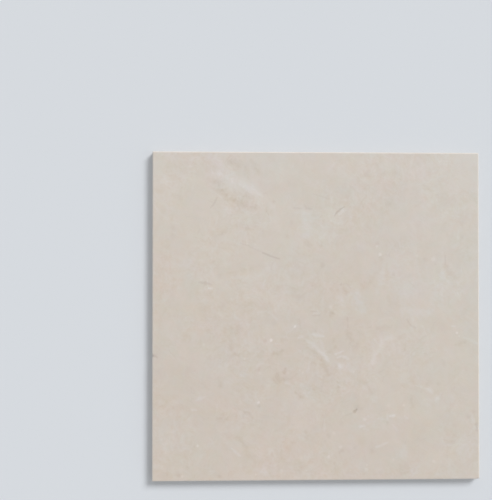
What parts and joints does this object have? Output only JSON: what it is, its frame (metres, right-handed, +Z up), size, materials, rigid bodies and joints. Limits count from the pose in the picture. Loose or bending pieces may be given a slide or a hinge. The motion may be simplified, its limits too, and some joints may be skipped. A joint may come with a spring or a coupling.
{
  "type": "marble floor tile",
  "caption": "Square floor tile of cream marble: flat polished face, fine arris ground along its edges, square sawn sides and a flat calibrated back for bedding.",
  "frame": {"origin": "centre of the back face, on the floor or bed that the tile lies on", "axes": "+Z up out of the polished face; +X and +Y along the tile's edges, which are the right and the top of the picture"},
  "size_m": [0.305, 0.305, 0.01],
  "materials": {
    "cream_marble": "polished face, ground arris, fine-sawn edges and calibrated back"
  },
  "bodies": {
    "root": {"marble_tile": "cream_marble"}
  },
  "joints": []
}
